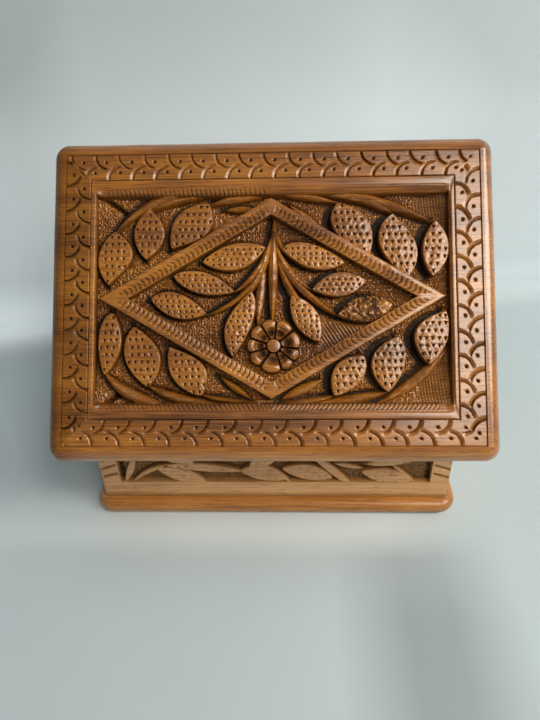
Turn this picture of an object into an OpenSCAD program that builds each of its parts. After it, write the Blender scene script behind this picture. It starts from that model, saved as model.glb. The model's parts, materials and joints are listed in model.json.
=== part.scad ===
// Carved walnut box with a hinged lid, for a rosary or other small keepsakes.
// The rim of the lid overhangs the walls, which stand on a wider base board.
// Origin: centre of the underside of the base. +X runs along the hinge line,
// -Y is the hinge side and +Z is up. All sizes are in millimetres.

/* [Lid] */
// Width of the lid, along the hinge line
lid_w = 150; // [120:1:190]
// Depth of the lid, from the hinge side to the opening side
lid_d = 109; // [90:1:140]
// Thickness of the lid board, which is also the diameter of its round rim
lid_t = 10; // [8:0.5:13]
// How far the rim of the lid stands out past the walls
overhang = 11; // [9:0.5:14]
// How far the lid stands open
open_angle = 50; // [0:1:105]

/* [Box] */
// Height of the top of the walls above the ground
box_h = 40; // [32:1:60]
// Thickness of the walls
wall_t = 8; // [7:0.5:10]
// Thickness of the base board
base_t = 6; // [5:0.5:8]
// How far the base board stands out past the walls
base_ledge = 4; // [2:0.5:6]

/* [Carving] */
// Depth of the carved ground of the lid
carve_depth = 3.5; // [2:0.5:4]
// Depth of the carved panels of the walls
panel_depth = 2.5; // [1:0.5:3]
// Width of the raised bands of the diamond
band_w = 4.7; // [3:0.1:6]
// Petals of the flower
petals = 9; // [6:1:12]

/* [Hinges] */
// Length of each hinge
hinge_l = 20; // [16:1:26]
// Distance from a side wall's inner face to the nearer end of a hinge
hinge_inset = 8; // [1:0.5:14]
// Outer radius of the knuckles
knuckle_r = 1.6; // [1.4:0.1:1.9]
// Thickness of the hinge leaves
leaf_t = 0.8; // [0.6:0.1:1]

/* [Hidden] */
$fn = 48;

// Outer size of the walls and of the base board
box_w = lid_w - 2 * overhang;
box_d = lid_d - 2 * overhang;
base_w = box_w + 2 * base_ledge;
base_d = box_d + 2 * base_ledge;
rim_r = lid_t / 2;
lid_corner = rim_r + 0.2;
base_corner = 7;
wall_h = box_h - base_t;

// Gap under the closed lid, and play of parts that move past each other
lid_gap = 0.3;
play = 0.3;
// Play of a pin or screw in its hole, and the space left past its end
fit = 0.04;
hole_end = 0.5;
// How far a cut runs past the face that it opens
cut = 1;

// Furthest that the lid opens, and how far out the hinge axis lies so that the rim then clears the wall
open_limit = 108;
lean = open_limit - 90;
rim_reach = (sin(lean) * (overhang - rim_r) + rim_r - cos(lean) * (rim_r + lid_gap / 2)) / (1 + sin(lean));

// Hinge axis, just outside the hinge-side wall at the height of the gap
axis_y = -(box_d / 2 + max(knuckle_r, rim_reach) + play);
axis_z = box_h + lid_gap / 2;
pin_r = 0.8;
pin_head_r = 1.3;
pin_head_t = 0.5;
// The leaf stops short of the wall's inner face
leaf_depth = wall_t - 0.5;
hinge_x = box_w / 2 - wall_t - hinge_inset - hinge_l / 2;
screw_x = hinge_l / 3;
screw_inset = 4;
screw_y = -box_d / 2 + screw_inset;
screw_r = 0.8;
screw_head_r = 1.6;
screw_l = 5;

// Corner dowels and base screws
dowel_r = 1.5;
dowel_l = 6;
dowel_z = [base_t + 4, box_h - 3.5];
base_screw_r = 1.4;
base_screw_head_r = 2.8;
base_screw_l = 13;
base_screw_sunk = 0.3;
base_screw_x = box_w * 0.3;

// The lid's carved field, and the frames that are cut round it
field_border = [15.75, 19];
moulding_border = 14;
scales_border = 5.25;
field = [lid_w - 2 * field_border.x, lid_d - 2 * field_border.y];
line_w = 0.6;
line_depth = 0.5;
// The motifs are laid out on a field of this size and move with its real size
lid_layout = [118.5, 71];
lid_stretch = [field.x / lid_layout.x, field.y / lid_layout.y];
leaf_drop = 1;
stem_drop = 1.8;
band_drop = 0.4;

// Each leaf of the lid: its two ends, how far it bulges to its left and right, and how far along
lid_leaves = [
    [-55, 4.8, -53, 23, 4.6, 6.7, 0.5, 0.6], [-42.4, 13.6, -41.3, 30.6, 4.6, 5.7, 0.5, 0.5],
    [-33.6, 17, -21, 32.3, 5.6, 6, 0.5, 0.6], [22.5, 31.8, 32.8, 14.6, 5.6, 5.8, 0.5, 0.38],
    [41, 28, 45.7, 6.8, 5, 6.8, 0.58, 0.4], [55, 25.5, 53.8, 6.8, 4.9, 3.9, 0.5, 0.5],
    [-53.5, -4.8, -56, -25.5, 4.2, 3.6, 0.5, 0.38], [-46, -9.5, -41.3, -29.6, 6.2, 5.4, 0.55, 0.45],
    [-34, -16.3, -23.3, -32.6, 6, 4.8, 0.6, 0.5], [30.4, -19.6, 20.8, -32.8, 4.2, 5.4, 0.42, 0.5],
    [42, -13.3, 38.3, -31.6, 3.8, 7.2, 0.45, 0.5], [57.8, -5, 52, -22.6, 3.2, 7.6, 0.5, 0.52],
    [-23, 12.3, -2, 17.2, 3.6, 5.2, 0.5, 0.5], [-32.8, 7.6, -12.5, 2.2, 3.8, 3.4, 0.45, 0.45],
    [-40.3, -0.3, -22, -5.2, 4.3, 3.9, 0.4, 0.5], [-7, 2.2, -13, -19.6, 3.4, 5, 0.38, 0.58],
    [3.8, 16.2, 24.6, 11.7, 4, 4.2, 0.36, 0.55], [13.8, 2.6, 31.6, 5.5, 4.3, 3.8, 0.5, 0.55],
    [22.3, -6, 40.2, -2.6, 4.6, 4.1, 0.5, 0.55], [6.8, 0.6, 16, -14.8, 4.4, 3.8, 0.5, 0.5]
];
// Each stem of the lid: its two ends, how far it bows to its left, and half its width
lid_stems = [
    [1.1, 28, 0.3, -9, 0, 1.5], [0.2, 21, -7.5, 1.5, 0.8, 1.4], [-1, 14, -22.5, -5.6, 3.6, 1],
    [-0.6, 18, -12.8, 2, 2, 1.1], [0.8, 24, 4.2, 16, -0.4, 1], [1.4, 20, 14, 2.6, -2.6, 1.1],
    [2, 14, 22.4, -6, -2, 1.2], [2.2, 14, 15.5, -8, -2.2, 1.2],
    [-3, 34.6, -21.3, 32.2, -0.8, 1.2], [-23, 34.6, -41.2, 30.2, -1.4, 1.1],
    [-21, 36.4, -53.2, 22.8, -4.4, 1.7],
    [3, 35.2, 23.6, 31.8, 1, 1.1], [26, 35, 41.5, 27.8, 1, 1.2], [8, 36.2, 54.8, 24.8, 3.4, 1.7],
    [-6, -34.6, -23.3, -32.4, 1, 1], [-17, -35.2, -41.3, -29.4, 1.8, 1.5],
    [-34, -36, -56, -25.3, 2.6, 1.9], [4, -34.8, 20.8, -32.6, -1, 1.1],
    [14, -35.2, 38.3, -31.4, -1, 1.5], [34, -35.6, 58.6, -16, -2.4, 1.6]
];
// Corners of the centre line of the diamond, and the flower at its foot
diamond_x = 53;
diamond_y = 31;
flower_x = 0.8;
flower_y = -16.2;
flower_r = 9.2;
button_r = 2.2;

// The carved panel of a wall, and its motifs on a panel of the size of the layout
wall_layout = [114.6, 20.3];
panel_margin = 6.7;
panel_bottom = base_t + 7.7;
panel_top = box_h - 6;
wall_leaves = [
    [-43, 6.8, -25, -0.6, 3.4, 3.4], [-40, 8.3, -11.5, 5.2, 2.4, 1.6], [-42, 13, -29, 9.5, 2.4, 1.8],
    [-12.5, 5.6, 4, 1, 5.2, 2.6], [-9, 8, 2, 14, 3, 3], [3, 6.8, 21.5, 1.8, 4.2, 3.2],
    [32, 5.2, 51, 0.8, 3.4, 4], [33, 9, 50, 10.6, 2.2, 1.5],
    [-50, 15.5, -38, 19, 2.2, 2.2], [-24, 13.5, -8, 18.5, 2.6, 2.6], [24, 13.5, 40, 18.5, 2.6, 2.6]
];
wall_stems = [
    [-55.8, -0.3, -50.5, 13, -0.3, 1.4], [-53, -0.5, -38.5, 8.6, 1.2, 1], [-52, 10.5, -44, 17, 0, 0.9],
    [0, 6.8, 6.5, -1.2, 0, 0.8], [13, 14.5, 30, -3.5, 0, 1.7], [22, 9.2, 32.5, 6.8, 0, 1],
    [42, 9.5, 52, -0.4, 0, 0.7], [44, 12, 54, 17.5, 1, 0.9], [-6, 16.5, 14, 14.5, 2, 0.9]
];

// Outline of a leaf from a to b; each side has how far it bulges and how far along it is widest
function leaf_outline(a, b, left, right, steps = 10) =
    let (run = b - a, side = [-run.y, run.x] / norm(run))
    concat(
        [for (i = [0:steps]) a + run * i / steps + side * left[0] * leaf_width(i / steps, left[1])],
        [for (i = [steps - 1:-1:1]) a + run * i / steps - side * right[0] * leaf_width(i / steps, right[1])]
    );

// Width of a leaf's side at a fraction of its length, as a part of its widest place, which is at peak
function leaf_width(s, peak) = pow(max(0, sin(180 * pow(s, ln(0.5) / ln(peak)))), 0.75);

// Leaf of a row whose ends are moved by stretch, which also sets its size
module leaf(row, stretch) {
    size = min(stretch);
    a = [row[0] * stretch.x, row[1] * stretch.y];
    b = [row[2] * stretch.x, row[3] * stretch.y];
    peaks = len(row) > 6 ? [row[6], row[7]] : [0.5, 0.5];
    polygon(leaf_outline(a, b, [row[4] * size, peaks[0]], [row[5] * size, peaks[1]]));
}

// Stem of a row: a narrow leaf that bows to one side
module stem(row, stretch) {
    bow = row[4];
    half = row[5];
    leaf([row[0], row[1], row[2], row[3], half + bow, half - bow], stretch);
}

// Board with half-round edges all round and round corners, resting on z = 0
module bullnose_board(w, d, t, corner) {
    r = t / 2;
    straight_x = w / 2 - corner;
    straight_y = d / 2 - corner;
    translate([0, 0, r]) {
        for (side = [0, 180])
            rotate([0, 0, side]) {
                translate([straight_x, straight_y, 0])
                    round_corner(r, corner);
                rotate([0, 0, 90])
                    translate([straight_y, straight_x, 0])
                        round_corner(r, corner);
                translate([0, straight_y, 0])
                    round_edge(2 * straight_x, r, corner);
                rotate([0, 0, -90])
                    translate([0, straight_x, 0])
                        round_edge(2 * straight_y, r, corner);
            }
        cube([2 * straight_x, 2 * straight_y, t], center = true);
    }
}

// Half-round section of radius r whose outermost point is at x = reach
module half_round(r, reach) {
    intersection() {
        union() {
            translate([reach - r, 0])
                circle(r);
            translate([0, -r])
                square([reach - r, 2 * r]);
        }
        translate([0, -r])
            square([reach, 2 * r]);
    }
}

module round_corner(r, reach) {
    rotate_extrude(angle = 90)
        half_round(r, reach);
}

module round_edge(length, r, reach) {
    translate([length / 2, 0, 0])
        rotate([90, 0, -90])
            linear_extrude(length)
                mirror([1, 0])
                    half_round(r, reach);
}

// Narrow line that runs round the lid at a distance from its edge
module line_frame(border) {
    size = [lid_w - 2 * border, lid_d - 2 * border];
    difference() {
        square([size.x + line_w, size.y + line_w], center = true);
        square([size.x - line_w, size.y - line_w], center = true);
    }
}

module diamond_bands() {
    difference() {
        diamond(band_w / 2);
        diamond(-band_w / 2);
    }
}

// Diamond whose sides are moved outwards by grow
module diamond(grow) {
    x = diamond_x * lid_stretch.x;
    y = diamond_y * lid_stretch.y;
    reach = 1 + grow * norm([x, y]) / (x * y);
    polygon([[x * reach, 0], [0, y * reach], [-x * reach, 0], [0, -y * reach]]);
}

module flower() {
    petal_r = flower_r * 0.3;
    for (i = [0:petals - 1])
        rotate(360 * (i + 0.5) / petals)
            translate([flower_r - petal_r, 0])
                circle(petal_r);
    circle(flower_r - petal_r);
}

// Lid lying flat, with its underside on z = 0 and its middle over the origin
module flat_lid() {
    difference() {
        bullnose_board(lid_w, lid_d, lid_t, lid_corner);
        translate([0, 0, lid_t - carve_depth])
            linear_extrude(carve_depth + cut)
                square(field, center = true);
        translate([0, 0, lid_t - line_depth])
            linear_extrude(line_depth + cut) {
                line_frame(scales_border);
                line_frame(moulding_border);
            }
    }
    carved_motifs();
}

// The raised motifs stand on the ground of the field, and overlap into it
module carved_motifs() {
    raised_motif(leaf_drop) {
        for (row = lid_leaves)
            leaf(row, lid_stretch);
        at_flower()
            flower();
    }
    raised_motif(stem_drop)
        for (row = lid_stems)
            stem(row, lid_stretch);
    raised_motif(band_drop) {
        diamond_bands();
        at_flower()
            circle(button_r);
    }
}

// Raises children from the ground to a little below the top of the lid
module raised_motif(drop) {
    root = 0.5;
    translate([0, 0, lid_t - carve_depth - root])
        linear_extrude(root + carve_depth - drop)
            intersection() {
                square(field, center = true);
                children();
            }
}

module at_flower() {
    translate([flower_x * lid_stretch.x, flower_y * lid_stretch.y])
        scale(min(lid_stretch))
            children();
}

// Turns what is drawn in the closed position about the hinge axis to the open one
module opened() {
    translate([0, axis_y, axis_z])
        rotate([open_angle, 0, 0])
            translate([0, -axis_y, -axis_z])
                children();
}

// Room in the lid's underside for the hinge leaf and for the knuckles
module lid_hinge_room(x) {
    translate([x - hinge_l / 2 - play / 2, axis_y, box_h + lid_gap - cut])
        cube([hinge_l + play, leaf_depth - box_d / 2 - axis_y + play / 3, leaf_t + cut]);
    translate([x - hinge_l / 2 - pin_head_t - play, axis_y, axis_z])
        rotate([0, 90, 0])
            cylinder(r = knuckle_r + play, h = hinge_l + 2 * (pin_head_t + play));
}

module lid_board() {
    color("sienna")
        opened()
            difference() {
                translate([0, 0, box_h + lid_gap])
                    flat_lid();
                for (x = [-hinge_x, hinge_x]) {
                    lid_hinge_room(x);
                    for (side = [-1, 1])
                        translate([x + side * screw_x, screw_y, box_h + lid_gap])
                            cylinder(r = screw_r + fit, h = screw_l + hole_end);
                }
            }
}

// What is carved away from the face of a wall, which lies on y = 0 and faces -y
module wall_carving(length) {
    panel_w = length - 2 * panel_margin;
    panel_h = panel_top - panel_bottom;
    stretch = [panel_w / wall_layout.x, panel_h / wall_layout.y];
    translate([0, panel_depth, panel_bottom])
        rotate([90, 0, 0])
            linear_extrude(panel_depth + cut)
                difference() {
                    translate([-panel_w / 2, 0])
                        square([panel_w, panel_h]);
                    for (row = wall_leaves)
                        leaf(row, stretch);
                    for (row = wall_stems)
                        stem(row, stretch);
                }
}

// Wall with mitred ends, its outer face on y = 0, and bores for the base screws at screws
module wall(length, screws) {
    half = length / 2;
    screw_end = base_screw_l + base_screw_sunk + hole_end / 3;
    difference() {
        translate([0, 0, base_t])
            linear_extrude(wall_h)
                polygon([[-half, 0], [half, 0], [half - wall_t, wall_t], [wall_t - half, wall_t]]);
        wall_carving(length);
        for (side = [-1, 1])
            for (z = dowel_z)
                translate([side * (half - wall_t / 2), wall_t / 2, z])
                    corner_dowel(-side, fit);
        for (x = screws)
            translate([x, wall_t / 2, base_t - cut])
                cylinder(r = base_screw_r + fit, h = screw_end - base_t + cut);
    }
}

// Dowel that crosses a mitre; way is 1 at the left-hand end of a wall
module corner_dowel(way, clearance) {
    rotate([0, 0, way * 45])
        rotate([90, 0, 0])
            cylinder(r = dowel_r + clearance, h = dowel_l + 2 * clearance, center = true);
}

module long_wall() {
    translate([0, -box_d / 2, 0])
        wall(box_w, [-base_screw_x, base_screw_x]);
}

module side_wall() {
    translate([0, -box_w / 2, 0])
        wall(box_d, [0]);
}

module hinge_side_wall() {
    color("peru")
        difference() {
            long_wall();
            for (x = [-hinge_x, hinge_x]) {
                translate([x - hinge_l / 2 - play / 2, -box_d / 2 - cut, box_h - leaf_t])
                    cube([hinge_l + play, leaf_depth + cut + play / 3, leaf_t + cut]);
                for (side = [-1, 1])
                    translate([x + side * screw_x, screw_y, box_h - screw_l - hole_end])
                        cylinder(r = screw_r + fit, h = screw_l + hole_end);
            }
        }
}

module opening_side_wall() {
    color("peru")
        rotate([0, 0, 180])
            long_wall();
}

module left_wall() {
    color("peru")
        rotate([0, 0, -90])
            side_wall();
}

module right_wall() {
    color("peru")
        rotate([0, 0, 90])
            side_wall();
}

// Places children at the six base screws
module at_base_screws() {
    for (x = [-1, 1]) {
        for (y = [-1, 1])
            translate([x * base_screw_x, y * (box_d - wall_t) / 2, 0])
                children();
        translate([x * (box_w - wall_t) / 2, 0, 0])
            children();
    }
}

module base_board() {
    color("saddlebrown")
        difference() {
            bullnose_board(base_w, base_d, base_t, base_corner);
            at_base_screws() {
                translate([0, 0, -cut])
                    cylinder(r = base_screw_r + fit, h = base_t + 2 * cut);
                countersink(base_screw_r, base_screw_head_r);
            }
        }
}

// Cone that takes a screw's head below z = 0, with the screw's own slope and its play
module countersink(r, head_r) {
    translate([0, 0, -cut])
        cylinder(r1 = head_r + fit + cut, r2 = r + fit, h = head_r - r + cut);
}

// Countersunk screw with a slot, its head flush with z = 0 and its point up
module wood_screw(r, head_r, length) {
    slot = head_r / 4;
    difference() {
        union() {
            cylinder(r1 = head_r, r2 = r, h = head_r - r);
            cylinder(r = r, h = length - 2 * r);
            translate([0, 0, length - 2 * r])
                cylinder(r1 = r, r2 = r / 4, h = 2 * r);
        }
        translate([-head_r, -slot / 2, -cut])
            cube([2 * head_r, slot, cut + (head_r - r) / 2]);
    }
}

module base_screws() {
    color("goldenrod")
        at_base_screws()
            translate([0, 0, base_screw_sunk])
                wood_screw(base_screw_r, base_screw_head_r - base_screw_sunk, base_screw_l);
}

module corner_dowels(side) {
    color("tan")
        for (end = [-1, 1])
            for (z = dowel_z)
                translate([side * (box_w - wall_t) / 2, end * (box_d - wall_t) / 2, z])
                    corner_dowel(side * end, 0);
}

// Knuckle round the hinge axis from x0 to x1, before its bore
module knuckle(x0, x1) {
    translate([x0, axis_y, axis_z])
        rotate([0, 90, 0])
            cylinder(r = knuckle_r, h = x1 - x0);
}

module pin_bore(x) {
    translate([x - hinge_l, axis_y, axis_z])
        rotate([0, 90, 0])
            cylinder(r = pin_r + fit, h = 2 * hinge_l);
}

// Plate of a hinge leaf, from its inner end to the hinge axis
module leaf_plate(x0, x1, z0) {
    translate([x0, axis_y, z0])
        cube([x1 - x0, -box_d / 2 + leaf_depth - axis_y, leaf_t]);
}

// The knuckles of the wall leaf take the outer thirds of the hinge
module wall_leaf(x) {
    z0 = box_h - leaf_t;
    color("gold")
        difference() {
            union() {
                translate([x - hinge_l / 2, -box_d / 2, z0])
                    cube([hinge_l, leaf_depth, leaf_t]);
                for (x0 = [x - hinge_l / 2, x + hinge_l / 6]) {
                    leaf_plate(x0, x0 + hinge_l / 3, z0);
                    knuckle(x0, x0 + hinge_l / 3);
                }
            }
            pin_bore(x);
            for (side = [-1, 1])
                translate([x + side * screw_x, screw_y, box_h])
                    mirror([0, 0, 1])
                        leaf_hole();
        }
}

// The knuckle of the lid leaf takes the middle third of the hinge
module lid_leaf(x) {
    half = hinge_l / 6 - play / 2;
    z0 = box_h + lid_gap;
    color("gold")
        opened()
            difference() {
                union() {
                    translate([x - hinge_l / 2, -box_d / 2, z0])
                        cube([hinge_l, leaf_depth, leaf_t]);
                    leaf_plate(x - half, x + half, z0);
                    knuckle(x - half, x + half);
                }
                pin_bore(x);
                for (side = [-1, 1])
                    translate([x + side * screw_x, screw_y, z0])
                        leaf_hole();
            }
}

// Countersunk hole through a leaf, for a screw that points up
module leaf_hole() {
    countersink(screw_r, screw_head_r);
    cylinder(r = screw_r + fit, h = leaf_t + cut);
}

module hinge_pin(x) {
    half = hinge_l / 2;
    color("goldenrod")
        translate([x, axis_y, axis_z])
            rotate([0, 90, 0]) {
                cylinder(r = pin_r, h = hinge_l, center = true);
                for (side = [-1, 1])
                    translate([0, 0, side * (half + pin_head_t / 2)])
                        cylinder(r = pin_head_r, h = pin_head_t, center = true);
            }
}

module wall_leaf_screws(x) {
    color("goldenrod")
        for (side = [-1, 1])
            translate([x + side * screw_x, screw_y, box_h])
                rotate([180, 0, 0])
                    wood_screw(screw_r, screw_head_r, screw_l);
}

module lid_leaf_screws(x) {
    color("goldenrod")
        opened()
            for (side = [-1, 1])
                translate([x + side * screw_x, screw_y, box_h + lid_gap])
                    wood_screw(screw_r, screw_head_r, screw_l);
}

lid_board();
hinge_side_wall();
opening_side_wall();
left_wall();
right_wall();
base_board();
wall_leaf(-hinge_x);  // left_hinge_wall_leaf
lid_leaf(-hinge_x);  // left_hinge_lid_leaf
hinge_pin(-hinge_x);  // left_hinge_pin
wall_leaf(hinge_x);  // right_hinge_wall_leaf
lid_leaf(hinge_x);  // right_hinge_lid_leaf
hinge_pin(hinge_x);  // right_hinge_pin
wall_leaf_screws(-hinge_x);  // left_hinge_wall_screws
lid_leaf_screws(-hinge_x);  // left_hinge_lid_screws
wall_leaf_screws(hinge_x);  // right_hinge_wall_screws
lid_leaf_screws(hinge_x);  // right_hinge_lid_screws
corner_dowels(-1);  // left_corner_dowels
corner_dowels(1);  // right_corner_dowels
base_screws();
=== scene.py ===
"""Carved walnut rosary box, dressed on its CAD frame.
Shapes are worked out in millimetres and placed in metres."""
import json
import bpy
import numpy as np
from mathutils import Matrix


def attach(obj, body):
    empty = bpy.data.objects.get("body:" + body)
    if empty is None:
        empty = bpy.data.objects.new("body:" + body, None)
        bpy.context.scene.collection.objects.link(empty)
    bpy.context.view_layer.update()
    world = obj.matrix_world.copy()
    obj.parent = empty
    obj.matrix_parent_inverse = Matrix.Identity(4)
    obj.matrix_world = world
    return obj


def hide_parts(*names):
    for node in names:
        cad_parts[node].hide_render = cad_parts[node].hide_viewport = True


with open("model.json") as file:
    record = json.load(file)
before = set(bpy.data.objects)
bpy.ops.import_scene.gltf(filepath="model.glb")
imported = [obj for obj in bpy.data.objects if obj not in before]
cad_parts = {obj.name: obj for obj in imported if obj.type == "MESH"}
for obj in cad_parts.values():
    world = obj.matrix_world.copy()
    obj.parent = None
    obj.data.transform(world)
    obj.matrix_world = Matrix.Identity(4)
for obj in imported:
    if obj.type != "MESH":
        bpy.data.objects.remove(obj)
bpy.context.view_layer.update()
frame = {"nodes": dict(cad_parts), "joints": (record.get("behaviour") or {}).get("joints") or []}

# Camera: held above the hinge side, about 27 cm from the lid, and tilted 36 degrees down.
# Its place and its tilts (to the left, down and round) were fitted to the edges of lid, wall and base.
tilts = np.radians([2.567, 35.942, 1.797])
cos, sin = np.cos(tilts), np.sin(tilts)
turn_left = np.array([[cos[0], -sin[0], 0], [sin[0], cos[0], 0], [0, 0, 1]])
turn_down = np.array([[1, 0, 0], [0, cos[1], sin[1]], [0, -sin[1], cos[1]]])
turn_roll = np.array([[cos[2], -sin[2], 0], [sin[2], cos[2], 0], [0, 0, 1]])
level_view = np.array([[1, 0, 0], [0, 0, 1], [0, -1, 0]])
sight = turn_left @ turn_down @ level_view @ turn_roll
camera_data = bpy.data.cameras.new("camera")
camera_data.sensor_fit = "AUTO"
film_w, focal_px, picture_h = 36, 604.83, 720
camera_data.sensor_width = film_w
camera_data.lens = film_w * focal_px / picture_h
camera_data.clip_start = 0.01
camera = bpy.data.objects.new("camera", camera_data)
facing = Matrix((sight * [1, -1, -1]).tolist()).to_4x4()
camera.matrix_world = Matrix.Translation((0.006846, -0.19862, 0.18232)) @ facing
bpy.context.scene.collection.objects.link(camera)
bpy.context.scene.camera = camera
bpy.context.scene.view_settings.view_transform = "Standard"


# Floor and backdrop: one sheet of matt paper that bends up close behind the box.
# Seen from behind it lets the view through, so that the back of the box shows. The glow of its upright
# part shows only to the camera, in mirror images and through glass, and throws no soft light on the box.
class Shade:
    """A socket of a material. Arithmetic on it adds Math nodes, and node() adds any other node."""

    def __init__(self, tree, socket):
        self.tree = tree
        self.socket = socket

    def node(self, kind, settings, values, output=0):
        made = self.tree.nodes.new("ShaderNode" + kind)
        for name, value in settings.items():
            if name == "stops":
                while len(made.color_ramp.elements) < len(value):
                    made.color_ramp.elements.new(0.5)
                for element, (place, colour) in zip(made.color_ramp.elements, value):
                    element.position = place
                    element.color = (*colour, 1)
            else:
                setattr(made, name, value)
        for name, value in values.items():
            if isinstance(value, Shade):
                self.tree.links.new(value.socket, made.inputs[name])
            else:
                made.inputs[name].default_value = value
        return Shade(self.tree, made.outputs[output])

    def math(self, operation, *others):
        return self.node("Math", {"operation": operation}, dict(enumerate((self,) + others)))

    def __add__(self, other):
        return self.math("ADD", other)

    def __mul__(self, other):
        return self.math("MULTIPLY", other)

    def __sub__(self, other):
        return self.math("SUBTRACT", other)

    def __rsub__(self, other):
        return self.math("MULTIPLY_ADD", -1, other)

    __radd__ = __add__
    __rmul__ = __mul__

    def clamped(self, low=0, high=1):
        return self.node("Clamp", {}, {0: self, 1: low, 2: high})

    def mixed(self, here, there):
        """Colour that goes from here to there as this value goes from 0 to 1."""
        return self.node("Mix", {"data_type": "RGBA"}, {0: self, 6: here, 7: there}, 2)

    def stretched(self, by):
        return self.node("VectorMath", {"operation": "MULTIPLY"}, {0: self, 1: by})

    def noise(self, scale, detail=2.0, roughness=0.5):
        values = {"Vector": self, "Scale": scale, "Detail": detail, "Roughness": roughness}
        return self.node("TexNoise", {}, values)

    def into(self, shader, name):
        self.tree.links.new(self.socket, shader.inputs[name])


def paint(red, green, blue):
    """Colour of a paint chart from 0 to 255 as the linear light that a shader takes."""
    chart = np.array([red, green, blue]) / 255
    linear = np.where(chart <= 0.04045, chart / 12.92, ((chart + 0.055) / 1.055) ** 2.4)
    return (*linear.tolist(), 1)


def fresh_material(name):
    """New material, its principled shader, its node tree and its object coordinates."""
    material = bpy.data.materials.new(name)
    material.use_nodes = True
    tree = Shade(material.node_tree, None)
    place = tree.node("TexCoord", {}, {}, "Object")
    return material, material.node_tree.nodes["Principled BSDF"], tree, place


paper, paper_shader, paper_tree, paper_place = fresh_material("backdrop_paper")
paper_tone = paper_place.noise(5, 2)
paper_right, paper_far, paper_height = [
    paper_tree.node("SeparateXYZ", {}, {0: paper_place}, k) for k in range(3)]
floor_tone = paper_tone.mixed(paint(193, 209, 216), paint(204, 219, 225))
# Painted shadow: a soft dark band on the floor in front of the box's right end, and the floor darker toward
# the right.
painted_shadow_band = (1.3 - (paper_right - 0.051).math("ABSOLUTE") * 42).clamped()
floor_painted_shadow = painted_shadow_band * (paper_far * -9 - 0.25).clamped(0, 0.56)
floor_painted_shadow = floor_painted_shadow + ((paper_right - 0.06) * 3).clamped(0, 0.12)
floor_tone = floor_painted_shadow.mixed(floor_tone, paint(120, 130, 134))
# Painted light: a pale strip on the floor just in front of the base, as if light bounced off the box.
painted_bounce_light = (1 - (paper_far + 0.05).math("ABSOLUTE") * 60).clamped(0, 0.7)
painted_bounce_light = painted_bounce_light * (1.25 + paper_right * 8).clamped(0.2, 1) * (1.9 - paper_right * 24).clamped()
floor_tone = painted_bounce_light.mixed(floor_tone, paint(232, 246, 250))
back_tone = paper_tone.mixed(paint(204, 218, 226), paint(213, 227, 234))
# Painted shade: the upright paper darkens toward the right, toward the top, and toward the left above 6 cm.
back_painted_shade = ((paper_right - 0.05) * 7).clamped(0, 0.42) * (paper_height * 40).clamped()
back_painted_shade = back_painted_shade + ((paper_height - 0.105) * 8).clamped(0, 0.4)
back_painted_shade = back_painted_shade + (paper_right * -12 - 0.96).clamped(0, 0.4) * (paper_height * 12 - 0.7).clamped()
back_tone = back_painted_shade.clamped(0, 0.55).mixed(back_tone, paint(150, 160, 164))
# Painted shade: the floor's paper is painted a little darker than the upright paper.
paper_colour = (paper_height * 60).clamped().mixed(floor_tone, back_tone)
paper_colour.into(paper_shader, "Base Color")
rays = [
    paper_tree.node("LightPath", {}, {}, f"Is {kind} Ray")
    for kind in ("Camera", "Glossy", "Transmission")]
seen = (rays[0] + rays[1] + rays[2]).clamped()
paper_glow = (paper_height * 60 - 0.1).clamped() * (1.25 - paper_height * 6).clamped(0.2, 1)
paper_glow = paper_glow * (1 - back_painted_shade * 0.5)
# Painted light: at the left a further glow lifts the box's shadow, a little on the floor and more where the
# paper bends up.
left_glow = (paper_right * -14 - 0.9).clamped() * (1.35 - paper_height * 36).clamped()
left_glow = left_glow * (paper_height * 120 + 0.2).clamped()
glow = (paper_glow * 0.35 + left_glow * 0.5) * seen
glow.mixed((0, 0, 0, 1), (0.46, 0.51, 0.51, 1)).into(paper_shader, "Emission Color")
paper_shader.inputs["Emission Strength"].default_value = 1
paper_shader.inputs["Roughness"].default_value = 0.85
paper_relief = {"Strength": 0.3, "Distance": 0.006, "Height": paper_place.noise(9, 4)}
paper_tree.node("Bump", {}, paper_relief).into(paper_shader, "Normal")
see_through = paper_tree.node("BsdfTransparent", {}, {})
paper_back = paper_tree.node("NewGeometry", {}, {}, "Backfacing")
paper_front = Shade(paper.node_tree, paper_shader.outputs[0])
paper_sides = paper_tree.node("MixShader", {}, {0: paper_back, 1: paper_front, 2: see_through})
paper_sides.into(paper.node_tree.nodes["Material Output"], "Surface")


def sheet_faces(rows, columns, closed=False):
    """Quads of a grid of rows by columns points; closed joins the last column to the first."""
    row = np.arange(rows - 1)[:, None] * columns
    here = np.arange(columns if closed else columns - 1)[None, :]
    there = (here + 1) % columns
    return np.stack([row + here, row + there, row + columns + there, row + columns + here], -1).reshape(-1, 4)


def fan(tip, first, second):
    """Triangles from the point numbered tip to the pairs of neighbours on a ring."""
    return np.stack([np.full(len(first), tip), first, second], -1)


def fill_mesh(name, points, faces, smooth_below):
    """Mesh of points in metres and of lists of faces; edges sharper than smooth_below degrees stay sharp."""
    mesh = bpy.data.meshes.new(name)
    corners = np.concatenate([block.ravel() for block in faces])
    sizes = np.concatenate([np.full(len(block), block.shape[1]) for block in faces])
    mesh.vertices.add(len(points))
    mesh.vertices.foreach_set("co", np.ascontiguousarray(points, dtype=np.float32).ravel())
    mesh.loops.add(len(corners))
    mesh.loops.foreach_set("vertex_index", corners.astype(np.int32))
    mesh.polygons.add(len(sizes))
    mesh.polygons.foreach_set("loop_start", (np.cumsum(sizes) - sizes).astype(np.int32))
    mesh.update(calc_edges=True)
    mesh.shade_smooth()
    mesh.set_sharp_from_angle(angle=np.radians(smooth_below))
    return mesh


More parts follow.
